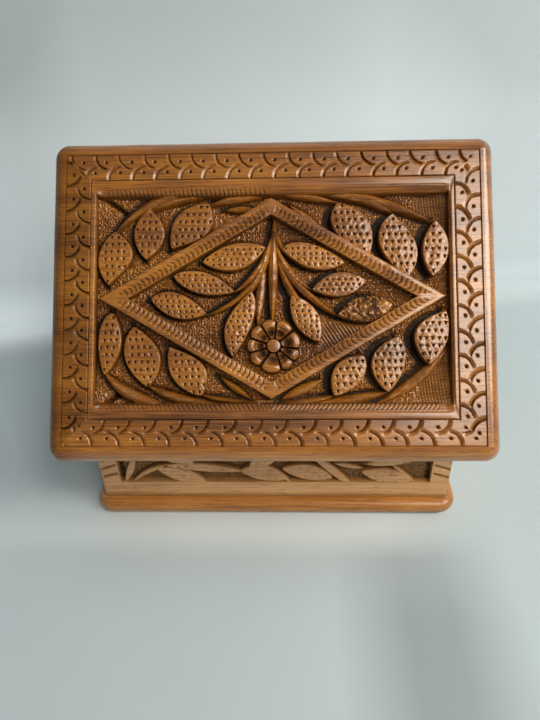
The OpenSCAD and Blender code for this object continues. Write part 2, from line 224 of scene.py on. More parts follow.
bend = np.radians(np.linspace(0, 90, 13))
fold_y, fold_r = 92, 12
fold_curve = fold_y - fold_r + fold_r * np.sin(bend)
profile_y = np.concatenate([[-1500, -600, -200, 0, 40], fold_curve, [fold_y, fold_y]])
profile_z = np.concatenate([[0, 0, 0, 0, 0], fold_r - fold_r * np.cos(bend), [300, 900]])
paper_x = np.linspace(-1500, 1500, 25)
paper_grids = np.broadcast_arrays(paper_x[None, :], profile_y[:, None], profile_z[:, None])
paper_points = np.stack(paper_grids, -1).reshape(-1, 3)
paper_points[:, 1] += 0.17 * np.clip(paper_points[:, 0], -250, 250) * (paper_points[:, 1] > 41)
paper_faces = [sheet_faces(len(profile_y), len(paper_x))]
paper_mesh = fill_mesh("paper_sheet", paper_points / 1000, paper_faces, 60)
paper_sheet = bpy.data.objects.new("paper_sheet", paper_mesh)
paper_sheet.data.materials.append(paper)
bpy.context.scene.collection.objects.link(paper_sheet)

# Light: a soft window on the right, whose mirror image falls on the lid's right-hand border,
# and the pale room all round.
world = bpy.data.worlds.new("room")
world.use_nodes = True
world.node_tree.nodes["Background"].inputs["Color"].default_value = paint(232, 233, 232)
world.node_tree.nodes["Background"].inputs["Strength"].default_value = 0.19
bpy.context.scene.world = world


def soft_lamp(name, centre, way, across, size, watts, colour):
    """Rectangular lamp that shines against the direction way; its width lies along across."""
    lamp = bpy.data.lights.new(name, "AREA")
    lamp.shape = "RECTANGLE"
    lamp.size, lamp.size_y = size
    lamp.energy = watts
    lamp.color = paint(*colour)[:3]
    way = np.array(way) / np.linalg.norm(way)
    up = np.cross(way, across)
    up /= np.linalg.norm(up)
    holder = bpy.data.objects.new(name, lamp)
    facing = Matrix(np.stack([np.cross(up, way), up, way], 1).tolist()).to_4x4()
    holder.matrix_world = Matrix.Translation(centre) @ facing
    bpy.context.scene.collection.objects.link(holder)


soft_lamp("window", (0.32, -0.522, 0.672), (0, -0.688, 0.726), (1, 0, 0), (0.24, 0.45), 2.7, (255, 248, 236))
soft_lamp("window_side", (0.48, -0.2, 0.4), (0.8, -0.3, 0.52), (0, 1, 0), (0.3, 0.3), 2.5, (255, 248, 236))
soft_lamp("ceiling", (-0.1, 0.5, 0.9), (-0.1, 0.5, 0.86), (1, 0, 0), (0.8, 0.6), 0.9, (246, 248, 255))

# Walnut: waxed wood with its grain along the box. Growth bands, fine fibres and short dark pores
# run lengthwise; what the carving left low is darkened partly by wax and dirt and partly by painted shade.


def walnut(name, turn, pale, middle, dark, polish, coat=1.0):
    """Material of one board; turn brings its grain along X, and a point attribute darkens its cuts with
    painted shade and grime.
    Colour is growth bands (stretched noise) plus fibres, with pores where a fine noise is highest."""
    material, shader, tree, place = fresh_material(name)
    along = tree.node("Mapping", {"vector_type": "POINT"}, {"Vector": place, "Rotation": turn})
    hollow = tree.node("Attribute", {"attribute_name": "hollow"}, {}, "Fac")
    bands = along.stretched((6, 75, 75)).noise(1, 3, 0.55)
    fibres = along.stretched((40, 1500, 1500)).noise(1, 3, 0.6)
    pores = (along.stretched((170, 2600, 2600)).noise(1, 1, 0.5) - 0.6).math("MULTIPLY", 7).clamped()
    cloud = along.noise(38, 3, 0.6)
    tone = (bands * 1.5 + fibres * 1.2 + cloud * 0.6 - 1.15).clamped()
    stops = [(0.08, paint(*dark)[:3]), (0.5, paint(*middle)[:3]), (0.95, paint(*pale)[:3])]
    wood = tree.node("ValToRGB", {"stops": stops}, {0: tone})
    wood = (pores * 0.55).mixed(wood, paint(70, 38, 18))
    # Painted shade with wax and grime: the point attribute mixes low and cut places toward a near-black
    # brown.
    wax_and_shade = (hollow * 0.98 + (cloud - 0.5) * hollow * 0.5).clamped()
    wood = wax_and_shade.mixed(wood, paint(13, 6, 2))
    gloss = (fibres * 0.14 + hollow * 0.22 + (polish - 0.07) + (cloud - 0.5) * 0.16).clamped(0.12, 0.9)
    relief = fibres * 0.5 + pores * -0.6 + along.stretched((14, 160, 160)).noise(1, 2, 0.5) * 1.2
    surface = tree.node("Bump", {}, {"Strength": 0.6, "Distance": 0.00026, "Height": relief})
    wood.into(shader, "Base Color")
    gloss.into(shader, "Roughness")
    surface.into(shader, "Normal")
    (hollow * -2.2 * coat + coat).clamped().into(shader, "Coat Weight")
    shader.inputs["Coat Roughness"].default_value = 0.24
    shader.inputs["Coat IOR"].default_value = 1.7
    shader.inputs["Specular IOR Level"].default_value = 0.3
    return material


lid_hinge = next(joint for joint in frame["joints"] if joint["name"] == "lid_hinge")
lid_open = np.radians(-lid_hinge["range_deg"][0])
lid_walnut = walnut("lid_walnut", (-lid_open, 0, 0), (208, 138, 44), (166, 101, 29), (90, 49, 13), 0.38)
# Painted light: the walls' walnut is paler than the lid's, lightened to make up for the shade they stand in
# under the open lid.
wall_lightened_tones = ((230, 176, 116), (212, 154, 92), (166, 112, 60))
wall_walnut = walnut("wall_walnut", (0, 0, 0), *wall_lightened_tones, 0.48, 0.7)
lightened_side_walnut = walnut("lightened_side_walnut", (0, 0, np.pi / 2), *wall_lightened_tones, 0.48, 0.7)
base_tones = ((204, 142, 72), (178, 116, 50), (118, 72, 28))
base_walnut = walnut("base_walnut", (0.1, 0, 0.02), *base_tones, 0.46, 0.45)

# Lid rim and underside: the board's edge is a half-round all the way round, with soft corners.
# Its smooth top ends at an incised line, and its underside is cut out for the two hinges.
lid_w, lid_d, lid_t = 150, 109, 10
corner_r = 5.2
underside_z = 40.3


def on_lid(points):
    """From the flat lid (right, towards the opening side, up from the underside) to metres, standing open."""
    axis = np.array(lid_hinge["pos_m"])
    x, y, z = ((points + [0, 0, underside_z]) / 1000 - axis).T
    cos, sin = np.cos(lid_open), np.sin(lid_open)
    return np.stack([x, cos * y - sin * z, sin * y + cos * z], -1) + axis


def unit(value):
    """Value held between 0 and 1."""
    return np.clip(value, 0, 1)


def eased(low, high, value):
    """Goes from 0 at low to 1 at high along a smooth S."""
    share = unit((value - low) / (high - low))
    return share * share * (3 - 2 * share)


def wobble(x, y, cell, seed):
    """Random field between -1 and 1, smooth between lattice points that are cell apart."""
    table = np.random.default_rng(seed).uniform(-1, 1, (128, 128))
    column = np.floor(x / cell).astype(int)
    row = np.floor(y / cell).astype(int)
    right = eased(0, 1, x / cell - column)
    up = eased(0, 1, y / cell - row)
    near, far = [
        table[line % 128, column % 128] * (1 - right) + table[line % 128, (column + 1) % 128] * right
        for line in (row, row + 1)]
    return near * (1 - up) + far * up


def add_piece(name, parts, place, material, body, node, smooth_below=38):
    """One object from parts of (points, lists of faces, hollow at each point). place puts points in metres.
    It rides on a body and stands for a CAD node."""
    starts = np.cumsum([0] + [len(points) for points, faces, hollow in parts])
    faces = [block + start for (points, blocks, hollow), start in zip(parts, starts) for block in blocks]
    points = place(np.concatenate([points for points, blocks, hollow in parts]))
    mesh = fill_mesh(name, points, faces, smooth_below)
    depths = np.concatenate([np.broadcast_to(hollow, len(points)) for points, blocks, hollow in parts])
    mesh.attributes.new("hollow", "FLOAT", "POINT").data.foreach_set("value", depths.astype(np.float32))
    piece = bpy.data.objects.new(name, mesh)
    piece.data.materials.append(material)
    bpy.context.scene.collection.objects.link(piece)
    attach(piece, body)
    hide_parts(node)


def add_lid_piece(name, parts, smooth_below=38):
    """One object of the lid; all of them stand for the one carved board."""
    add_piece(name, parts, on_lid, lid_walnut, "lid", "lid_board", smooth_below)


def rim_section(steps):
    """Half-round from the incised line over the edge to the underside: (distance inside the edge, height)."""
    r = lid_t / 2
    turn = np.radians(np.linspace(90, -90, steps))
    inset = np.concatenate([[5.19, 5.15, 5.05], r - r * np.cos(turn), [5.19]])
    height = np.concatenate([[9.3, 9.5, 9.93], r + r * np.sin(turn), [0]])
    return inset, height


def round_loop(half_x, half_y, corner, counts):
    """Loop round a rectangle with round corners; each side has straight points, then an arc of points."""
    angle = np.radians(np.linspace(0, 90, counts[2]))
    arc = np.stack([corner * np.cos(angle), corner * np.sin(angle)], -1)
    middle = np.array([half_x - corner, half_y - corner])
    along_y = np.linspace(-middle[1], middle[1], counts[1])[1:-1]
    along_x = np.linspace(middle[0], -middle[0], counts[0])[1:-1]
    right = np.stack([np.full(len(along_y), half_x), along_y], -1)
    top = np.stack([along_x, np.full(len(along_x), half_y)], -1)
    half = np.concatenate([right, arc + middle, top, arc[::-1] * [-1, 1] + middle * [-1, 1]])
    return np.concatenate([half, -half])


rim_inset, rim_height = rim_section(25)
rim_loops = np.stack([
    round_loop(lid_w / 2 - inset, lid_d / 2 - inset, corner_r - inset, (90, 60, 17))
    for inset in rim_inset])
rim_level = np.broadcast_to(rim_height[:, None], rim_loops.shape[:2])
worn = 0.05 + 0.05 * wobble(rim_loops[..., 0], rim_loops[..., 1], 11, 3)
worn = worn * (np.abs(rim_level - lid_t / 2) < 4.5)
rim_points = np.concatenate([rim_loops * (1 - worn[..., None] / (lid_w / 2)), rim_level[..., None]], -1)
# Painted shade: the incised line is darkened, and the rim darkens toward its left end, away from the window.
rim_line_and_left_shade = 0.3 * (np.arange(len(rim_inset)) < 2)[:, None] + 0.34 * eased(-60, -73, rim_loops[..., 0])
hinge_x, hinge_y = 38, -45.4
bed_half, bed_end = 10.15, -35.9
knuckles_half = 10.8


def hinge_rooms(x, y):
    """How deep the underside is cut: a flat bed for each hinge leaf and a groove round its knuckles."""
    from_hinge = np.abs(np.abs(x) - hinge_x)
    bed = 0.8 * ((from_hinge < bed_half) & (y > hinge_y) & (y < bed_end))
    reach = 1.9 ** 2 - (y - hinge_y) ** 2
    round_cut = (np.sqrt(np.maximum(reach, 0)) - 0.15) * ((from_hinge < knuckles_half) & (reach > 0.03))
    return np.maximum(bed, round_cut)


def with_steps(lines, steps):
    """Grid lines with a close pair added at each step, which makes the step steep."""
    return np.sort(np.concatenate([lines, np.array(steps) - 0.01, np.array(steps) + 0.01]))


room_ends = [side * hinge_x + end * reach
             for side in (-1, 1) for end in (-1, 1) for reach in (bed_half, knuckles_half)]
under_x = with_steps(np.linspace(-69.81, 69.81, 121), room_ends)
under_lines = [[-49.31], np.linspace(-47.5, -43, 31), np.linspace(-42, 49.31, 60)]
under_y = with_steps(np.concatenate(under_lines), [bed_end])
under_grid = np.meshgrid(under_x, under_y)
under_points = np.stack([*under_grid, hinge_rooms(*under_grid)], -1).reshape(-1, 3)
under_faces = sheet_faces(len(under_y), len(under_x))[:, ::-1]
rim_faces = sheet_faces(*rim_level.shape, True)[:, ::-1]
rim_part = (rim_points.reshape(-1, 3), [rim_faces], rim_line_and_left_shade.ravel())
add_lid_piece("lid_rim", [rim_part, (under_points, [under_faces], 0.05)])

# Scale border: two rows of fish scales run anticlockwise round the lid between two incised lines.
# Each head is a stop cut of a gouge with a scoop in front of it, and a punched dot behind it.
border_line = np.array([lid_w / 2 - 5.3, lid_d / 2 - 5.3])
border_w = 8.6
scale_rows = [(0.8, 8.64, 5.0, 8.7), (0.5, 8.3, 4.6, 8.2), (2.0, 8.2, 6.1, 8.1), (2.2, 8.17, -2.0, 8.0)]


def scale_cut(along, across, head, pitch, radius):
    """Depth of one row: past each head circle it drops at once, then rises again to the flat top."""
    number = np.floor((along - head + radius) / pitch).astype(int) % 32
    depth, swell = np.random.default_rng(int(head * 10) % 61).uniform(-1, 1, (2, 32))[:, number]
    radius = radius + 0.22 * swell
    ahead = (along - head + radius) % pitch
    past = np.hypot(ahead, across) - radius
    taper = 1 - eased(1.15, 1.62, np.arctan2(across, ahead))
    scoop = (0.88 + 0.2 * depth) * eased(-0.1, 0.1, past) * unit(1 - past / 1.25) ** 1.2 * taper
    dot = eased(0.66, 0.32, np.hypot(ahead - 1.0, across - 2.5))
    return scoop, dot, np.exp(-((past - 0.12) / 0.2) ** 2) * taper


def scale_border(side, along, across):
    """Depth and hollow of the border: along runs anticlockwise, across inwards from the outer line."""
    bent = along + 0.45 * wobble(along, across, 6.5, 20 + side)
    heads = scale_rows[side]
    outer, outer_dot, outer_stop = scale_cut(bent, across, *heads[:2], 4.6)
    inner, inner_dot, inner_stop = scale_cut(bent, border_w - across, *heads[2:], 4.3)
    deep = np.maximum(outer, inner)
    dot = np.maximum(outer_dot, inner_dot)
    uneven = 0.12 * wobble(along, across, 2.2, 30 + side) * (deep > 0.02)
    stop = np.maximum(outer_stop, inner_stop)
    # Painted shade: each side is darkened by its own amount, most on the left and less on the top and right;
    # the stop cuts, scoops and dots are darkened as well.
    painted_shade = [0, 0.04, 0.1, 0.33][side]
    return deep + 0.55 * dot + uneven, unit(0.45 * deep ** 2 + 0.5 * stop + 0.9 * dot + painted_shade)


def on_side(side, along, out):
    """Place on the front, right, back or left of a ring, from the run round it and the reach outwards."""
    return [(along, -out), (out, along), (-along, out), (-out, -along)][side]


def ring_part(sides):
    """One closed part from four sides, each of them grids of x, y, height and hollow."""
    grid = np.stack([np.concatenate([side[k] for side in sides], 1) for k in range(4)], -1)
    return grid[..., :3].reshape(-1, 3), [sheet_faces(*grid.shape[:2], True)], grid[..., 3].ravel()


border_across = np.linspace(-0.15, border_w, 44)[:, None]
outer_line = eased(0.25, 0.0, border_across)
inner_line = eased(border_w - 0.25, border_w, border_across)
ring_parts = []
for side, columns in enumerate((610, 435, 610, 435)):
    line = [0.4, 0.9, 0.5, 0.5][side] * outer_line + [0.5, 1.0, 0.4, 1.0][side] * inner_line
    half_along, half_out = np.roll(border_line, side % 2)[:, None, None] - border_across
    along = np.linspace(-1, 1, columns)[:-1] * half_along
    out = half_out + 0 * along
    deep, hollow = scale_border(side, along, border_across + 0 * along)
    joined = eased(0.0, 0.7, half_along - np.abs(along))
    height = lid_t - 0.03 - deep * joined * (1 - line) - 0.6 * line
    # Painted shade: the incised lines at both edges of the border are darkened.
    hollow = unit(hollow * joined * (1 - line) + 0.6 * line)
    ring_parts.append((*on_side(side, along, out), height, hollow))
add_lid_piece("lid_scale_border", [ring_part(ring_parts)], 60)

# Mouldings: a plain half-round strip frames the carved field. Above and below the field a bevel
# with slanted gouge slashes leads down to the ground; at the sides the strip drops straight.
frame_outer = np.array([61.0, 40.5])
frame_inner = np.array([59.25, 35.5])


def moulding_height(side, share):
    """Height of the frame at a share of its width: groove, rounded strip, then bevel or drop."""
    strip_end = [0.50, 0.72, 0.58, 0.90][side]
    strip = 9.98 - 0.12 * np.abs(2 * share / strip_end - 1) ** 3
    strip -= 0.35 * eased(0.06, 0.0, share)
    bevel_start, bevel_end = [(9.7, 8.9), (9.5, 9.0), (9.82, 8.7), (9.5, 9.2)][side]
    bevel = bevel_start + (bevel_end - bevel_start) * (share - strip_end) / (1 - strip_end)
    line = 0.12 * eased(0.05, 0.0, np.abs(share - strip_end))
    return np.where(share < strip_end, strip, bevel) - line


def zigzag(place, pitch):
    """Falls from 1 to 0 and rises again over every pitch; a V cut lies where it is 0."""
    return np.abs((place / pitch) % 1 - 0.5) * 2


def slashes(side, along, share):
    """Depth of the slashes: narrow V cuts 1.5 apart, with opposite leans left and right of the middle."""
    lean = np.where(along < 0, -1.0, 1.3) if side == 0 else -0.45
    slanted = along + lean * (1 - share) * 4 * np.abs(1 - share) ** 0.3
    slanted = slanted + 0.25 * wobble(along, 0 * along, 5, 41)
    pitch = 1.52
    from_cut = zigzag(slanted, pitch) * pitch / 2
    inside = (np.abs(along) < 55) if side == 0 else ((along > 1) & (along < 56))
    fade = 0.75 + 0.25 * wobble(along, 0 * along, 9, 44)
    start = 0.56 if side == 0 else 0.62
    cut = unit(1 - from_cut / 0.24) * eased(start, start + 0.08, share)
    return cut * inside * fade * (side % 2 == 0)


moulding_share = np.concatenate([np.linspace(0, 0.06, 3), np.linspace(0.1, 0.46, 6), np.linspace(0.5, 1, 17)])
drop_steps = np.array([0.3, 0.65, 1.0])
drop_foot = 5.4
frame_parts = []
for side, columns in enumerate((640, 150, 640, 150)):
    share = moulding_share[:, None]
    half = frame_outer + share * (frame_inner - frame_outer)
    half_along, half_across = (half[:, :1], half[:, 1:]) if side % 2 == 0 else (half[:, 1:], half[:, :1])
    along = np.linspace(-1, 1, columns)[None, :-1] * half_along
    cuts = slashes(side, along, share + 0 * along)
    nearest = eased(0, 3.0, half_along - np.abs(along))
    height = moulding_height(side, share + 0 * along) * nearest
    height = height + (9.85 - 0.6 * eased(0.9, 1, share)) * (1 - nearest) - 0.32 * cuts
    # Painted shade: the slashes, the groove along the outer edge (most at the sides) and the inner edge are
    # darkened, and the drop to the ground darkens toward its foot.
    groove_shade = [0.4, 0.9, 0.3, 0.9][side] * eased(0.07, 0.0, share)
    hollow = 0.95 * cuts ** 0.6 + groove_shade + 0.35 * eased(0.8, 1, share) + 0 * along
    drop = height[-1:] + (drop_foot - height[-1:]) * drop_steps[:, None]
    slope = [0.9, 0.15, 1.3, 0.15][side] * drop_steps[:, None]
    half_across = np.concatenate([half_across + 0 * along, half_across[-1:] - slope + 0 * along[-1:]])
    along = np.concatenate([along, along[-1:] * (1 - slope / 60)])
    height = np.concatenate([height, drop])
    hollow = np.concatenate([unit(hollow), 0.45 + 0.4 * drop_steps[:, None] + 0 * drop])
    frame_parts.append((*on_side(side, along, half_across), height, hollow))
add_lid_piece("lid_mouldings", [ring_part(frame_parts)], 50)

# Leaves of the lid: twelve round the diamond and eight inside it, each left standing when the ground
# was cut away and running down to root_z below it. Their slightly domed tops are covered with rows of
# small triangular punch marks.
root_z = 5.0
outer_leaves = [
    (-55, 4.8, -53, 23, 4.6, 6.7, 0.5, 0.6), (-42.4, 13.6, -41.3, 30.6, 4.6, 5.7, 0.5, 0.5),
    (-33.6, 17, -21, 32.3, 5.6, 6, 0.5, 0.6), (22.5, 31.8, 32.8, 14.6, 5.6, 5.8, 0.5, 0.38),
    (41, 28, 45.7, 6.8, 5, 6.8, 0.58, 0.4), (55, 25.5, 53.8, 6.8, 4.9, 3.9, 0.5, 0.5),
    (-53.5, -4.8, -56, -25.5, 4.2, 3.6, 0.5, 0.38), (-46, -9.5, -41.3, -29.6, 6.2, 5.4, 0.55, 0.45),
    (-34, -16.3, -23.3, -32.6, 6, 4.8, 0.6, 0.5), (30.4, -19.6, 20.8, -32.8, 4.2, 5.4, 0.42, 0.5),
    (42, -13.3, 38.3, -31.6, 3.8, 7.2, 0.45, 0.5), (57.8, -5, 52, -22.6, 3.2, 7.6, 0.5, 0.52)]
inner_leaves = [
    (-23, 12.3, -2, 17.2, 3.6, 5.2, 0.5, 0.5), (-32.8, 7.6, -12.5, 2.2, 3.8, 3.4, 0.45, 0.45),
    (-40.3, -0.3, -22, -5.2, 4.3, 3.9, 0.4, 0.5), (-7, 2.2, -13, -19.6, 3.4, 5, 0.38, 0.58),
    (3.8, 16.2, 24.6, 11.7, 4, 4.2, 0.36, 0.55), (13.8, 2.6, 31.6, 5.5, 4.3, 3.8, 0.5, 0.55),
    (22.3, -6, 40.2, -2.6, 4.6, 4.1, 0.5, 0.55), (6.8, 0.6, 16, -14.8, 4.4, 3.8, 0.5, 0.5)]


def leaf_width(share, peak):
    """Half width along a leaf: sin(pi s)^0.75, with s bent so that the widest place is at peak."""
    return np.sin(np.pi * unit(share) ** (np.log(0.5) / np.log(peak))) ** 0.75


def beside_run(x, y, a, b):
    """Where a point lies by the line from a to b: share of the way, offset to its left, and its length."""
    run = np.array([b[0] - a[0], b[1] - a[1]], float)
    length = np.hypot(*run)
    share = ((x - a[0]) * run[0] + (y - a[1]) * run[1]) / length ** 2
    offset = ((y - a[1]) * run[0] - (x - a[0]) * run[1]) / length
    return share, offset, length


def leaf_margin(x, y, row):
    """How far inside a leaf's outline a point lies, measured across the leaf; it is negative outside."""
    share, offset, length = beside_run(x, y, row[:2], row[2:4])
    left = row[4] * leaf_width(share, row[6]) - offset
    right = row[5] * leaf_width(share, row[7]) + offset
    return np.minimum(np.minimum(left, right), length * np.minimum(share, 1 - share) + 0.5)


def punch_marks(x, y, row, spacing, size, seed):
    """Triangular pits in rows, pointing down: each deepens from its three edges. A cell whose middle
    lies near the leaf's edge stays bare."""
    rng = np.random.default_rng(seed)
    slip = rng.uniform(-0.5, 0.5, 256)
    shift = rng.uniform(-0.13, 0.13, (2, 256, 256))
    line = np.floor(y / spacing[1]).astype(int)
    across = x / spacing[0] + slip[line % 256] * 0.6
    column = np.floor(across).astype(int)
    dx = (across - column - 0.5) * spacing[0] - shift[0][line % 256, column % 256]
    dy = y - (line + 0.5) * spacing[1] - shift[1][line % 256, column % 256]
    inside = leaf_margin(x - dx, y - dy, row) > size * 1.5
    edge = np.minimum(size * 0.7 - dy, np.minimum(0.9 * dx + 0.42 * dy, 0.42 * dy - 0.9 * dx) + size)
    return unit(edge / (0.62 * size)) * inside


def round_section(top, walls):
    """Grids that run over the top, down the first wall and up the other one."""
    return [np.concatenate([over, down, up[:, ::-1]], 1) for over, down, up in zip(top, *walls)]


def leaf_solid(row, top, crown, foot, step, marks=None, mark_depth=0.75, lean=0.3, painted_shade=0.0, arch=2):
    """Closed leaf swept between its two tips. Half widths follow leaf_width; the top falls off from its
    middle line by a power of arch, and the walls lean out a little down to the foot."""
    ends = np.array(row[:4], float).reshape(2, 2)
    run = ends[1] - ends[0]
    length = np.hypot(*run)
    side = np.array([-run[1], run[0]]) / length
    share = 0.5 - 0.5 * np.cos(np.pi * np.linspace(0.025, 0.975, max(int(length / step), 12)))
    room = np.sin(np.pi * share) ** 0.75
    left_half = row[4] * leaf_width(share, row[6])
    right_half = row[5] * leaf_width(share, row[7])
    width = (left_half + right_half)[:, None]
    across = np.linspace(0, 1, max(int((row[4] + row[5]) / step), 7))
    across = across - 0.055 * np.sin(2 * np.pi * across)
    offset = left_half[:, None] - across * width
    from_edge = np.minimum(across, 1 - across) * width
    rounded = 0.16 * (1 - unit(from_edge / 0.35)) ** 2
    dome = top + crown * (1 - np.abs(2 * across - 1) ** arch) * room[:, None] ** 0.5 - rounded
    centre = ends[0] + run * share[:, None]
    x = centre[:, :1] + side[0] * offset
    y = centre[:, 1:] + side[1] * offset
    mark = marks(x, y, row) if marks else 0 * x
    height = dome - mark_depth * mark + 0.16 / arch * wobble(x, y, 1.7, 61)
    height = height + 0.12 / arch * wobble(x, y, 0.7, 62)
    # Painted shade: the punch marks and the leaf's edges are darkened, the whole leaf by the even amount it
    # is given, and its walls darken toward the foot.
    hollow = 0.95 * mark + 0.22 * (1 - unit(from_edge / 0.5)) + painted_shade
    down = np.array([0.2, 0.5, 0.8, 1.0])
    walls = []
    for edge, way in ((-1, -1), (0, 1)):
        spread = offset[:, edge][:, None] + way * lean * down * min(1, (row[4] + row[5]) / 3)
        sinking = height[:, edge][:, None] * (1 - down) + foot * down
        shade = 0.35 + 0.55 * down + 0 * spread
        walls.append((centre[:, :1] + side[0] * spread, centre[:, 1:] + side[1] * spread, sinking, shade))
    section = round_section((x, y, height, hollow), walls)
    rings = np.stack(section[:3], -1)
    count, around = rings.shape[:2]
    caps = np.stack([rings[0].mean(0), rings[-1].mean(0)])
    here = np.arange(around)
    there = (here + 1) % around
    last = (count - 1) * around
    start = fan(count * around, there, here)
    end = fan(count * around + 1, last + here, last + there)
    points = np.concatenate([rings.reshape(-1, 3), caps])
    hollow = np.concatenate([section[3].ravel(), [0.6, 0.6]])
    return points, [sheet_faces(count, around, True), start, end], hollow


def outer_marks(x, y, row):
    return punch_marks(x, y, row, (2.1, 2.5), 0.5, int(row[0] * 10) % 97)


def inner_marks(x, y, row):
    return punch_marks(x, y, row, (2.0, 1.75), 0.42, int(row[0] * 10) % 97)


def rough_marks(x, y, row):
    return unit(0.5 + 0.8 * wobble(x, y, 0.8, 77) + 0.5 * wobble(x, y, 0.35, 78)) * eased(38, 35, x)


def brushed(x, y, row):
    """Fine tool lines along a stem, from a random field stretched along its run."""
    share, offset, length = beside_run(x, y, row[:2], row[2:4])
    return 0.55 * unit(0.1 + wobble(offset + 30, share * length * 0.06 + 30, 0.42, 91))


def as_leaves(stems):
    """Rows for leaf_solid from rows of stems, which give the two ends, the bow and half the width."""
    return [(*ends, half + bow, half - bow, 0.5, 0.5) for *ends, bow, half in stems]


# Outer leaves left of x = 50 get a little painted shade; the two on the far right, where the window's glare
# falls, get none.
outer_parts = [
    leaf_solid(row, 8.75, 0.3, root_z, 0.21, outer_marks, painted_shade=0.07 * (row[0] < 50))
    for row in outer_leaves]
add_lid_piece("lid_outer_leaves", outer_parts, 50)
inner_parts = [
    leaf_solid(row, 8.7, 0.35, root_z, 0.21, rough_marks if row[0] == 22.3 else inner_marks, 0.6)
    for row in inner_leaves]
add_lid_piece("lid_inner_leaves", inner_parts, 50)

# Stems of the lid: a fan falls from the top of the diamond to the inner leaves, and long curved stems
# come off the mouldings to the outer ones. Each is a narrow ridge that ends in a point.
lid_stems = [
    (1.1, 28, 0.3, -9, 0, 1.5), (0.2, 21, -7.5, 1.5, 0.8, 1.4), (-1, 14, -22.5, -5.6, 3.6, 1.0),
    (-0.6, 18, -12.8, 2, 2, 1.1), (0.8, 24, 4.2, 16, -0.4, 1.0), (1.4, 20, 14, 2.6, -2.6, 1.1),
    (2, 14, 22.4, -6, -2, 1.2), (2.2, 14, 15.5, -8, -2.2, 1.2),
    (-3, 34.6, -21.3, 32.2, -0.8, 1.2), (-23, 34.6, -41.2, 30.2, -1.4, 1.1),
    (-21, 36.4, -53.2, 22.8, -4.4, 1.7),
    (3, 35.2, 23.6, 31.8, 1, 1.1), (26, 35, 41.5, 27.8, 1, 1.2), (8, 36.2, 54.8, 24.8, 3.4, 1.7),
    (-6, -34.6, -23.3, -32.4, 1, 1.0), (-17, -35.2, -41.3, -29.4, 1.8, 1.5),
    (-34, -36, -56, -25.3, 2.6, 1.9), (4, -34.8, 20.8, -32.6, -1, 1.1),
    (14, -35.2, 38.3, -31.4, -1, 1.5), (34, -35.6, 58.6, -16, -2.4, 1.6)]
stem_rows = as_leaves(lid_stems)
wedges = [
    (-15.5, 30.5, -5, 30.8, 1.2, 1.0, 0.5, 0.5), (6, 32, 17, 24, 1.1, 1.4, 0.5, 0.5),
    (-17, -26.5, -6.5, -34, 0.9, 1.2, 0.5, 0.5), (3, -34, 17, -27.5, 1.5, 1.5, 0.5, 0.5),
    (-2.2, 12.5, -4.6, -9, 1.2, 1.7, 0.5, 0.5)]
# Fan stems, long stems and wedges get an even painted shade, the low wedges most.
fan_parts = [leaf_solid(row, 7.6, 1.3, root_z, 0.26, None, 0, 0.5, 0.05, 1) for row in stem_rows[:8]]
long_parts = [leaf_solid(row, 7.0, 1.3, root_z, 0.26, brushed, 0.3, 0.7, 0.1, 1.3) for row in stem_rows[8:]]
wedge_parts = [leaf_solid(row, 6.9, 0.9, root_z, 0.28, None, 0, 0.5, 0.2, 1) for row in wedges]
add_lid_piece("lid_stems", fan_parts + long_parts + wedge_parts, 45)

# Diamond: four raised bands, almost as high as the border, meet in mitres at the corners.
# A row of curved stop cuts, each with a sloping chip, makes the inner part look like rope.
diamond_x, diamond_y, band_w = 53, 31, 4.7
rope_share = 0.72


def band_solid(start, end, lean, way):
    """One band between two mitres. The top falls away behind each curved stop cut like a saw tooth;
    the cuts take up the inner rope_share of its width."""
    inner, outer = np.stack([start, end], 1).astype(float)
    length = np.hypot(*(outer[1] - outer[0]))
    share = np.linspace(0, 1, int(length / 0.19))[:, None]
    across = np.linspace(0, 1, 23)[None, :]
    inner_line = inner[0] + share[..., None] * (inner[1] - inner[0])
    outer_line = outer[0] + share[..., None] * (outer[1] - outer[0])
    top = inner_line + across[..., None] * (outer_line - inner_line)
    run = (inner[1] - inner[0]) / np.hypot(*(inner[1] - inner[0]))
    along = top @ run
    pitch = 1.72
    curved = (along + lean * (across - 0.35) ** 2 * 6) * way / pitch
    tooth = (curved + 0.12 * wobble(along, 0 * along, 4, 70)) % 1
    cut = 0.35 * (1 - tooth) ** 2 + 0.65 * (1 - tooth) ** 7
    cut = cut * eased(0.03, 0.10, across) * eased(rope_share, rope_share - 0.1, across)
    cut = cut * eased(0.015, 0.05, share) * eased(0.985, 0.95, share)
    height = 9.62 - 0.62 * cut - 0.16 * np.abs(2 * across - 1) ** 10
    height = height + 0.05 * wobble(top[..., 0], top[..., 1], 2.5, 71)
    # Painted shade: the stop cuts and the band's edges are darkened, and its walls darken toward the foot.
    hollow = 1.6 * cut ** 2.2 + 0.1 * cut + 0.1 * np.abs(2 * across - 1) ** 8
    down = np.array([0.15, 0.5, 1.0])
    side = np.array([-run[1], run[0]])
    side = side * np.sign((outer - inner).sum(0) @ side)
    walls = []
    for edge, direction in ((-1, 1), (0, -1)):
        place = top[:, edge][:, None, :] + direction * side * (0.25 * down)[None, :, None]
        sinking = height[:, edge][:, None] * (1 - down) + root_z * down
        walls.append((place, sinking, 0.35 + 0.5 * down + 0 * place[..., 0]))
    places, heights, shades = round_section((top, height, hollow), walls)
    rings = np.concatenate([places, heights[..., None]], -1)
    if np.cross(run, side) > 0:
        rings = rings[:, ::-1]
        shades = shades[:, ::-1]
    count, around = rings.shape[:2]
    caps = [np.arange(around)[None, ::-1], (count - 1) * around + np.arange(around)[None, :]]
    return rings.reshape(-1, 3), [sheet_faces(count, around, True)] + caps, shades.ravel()


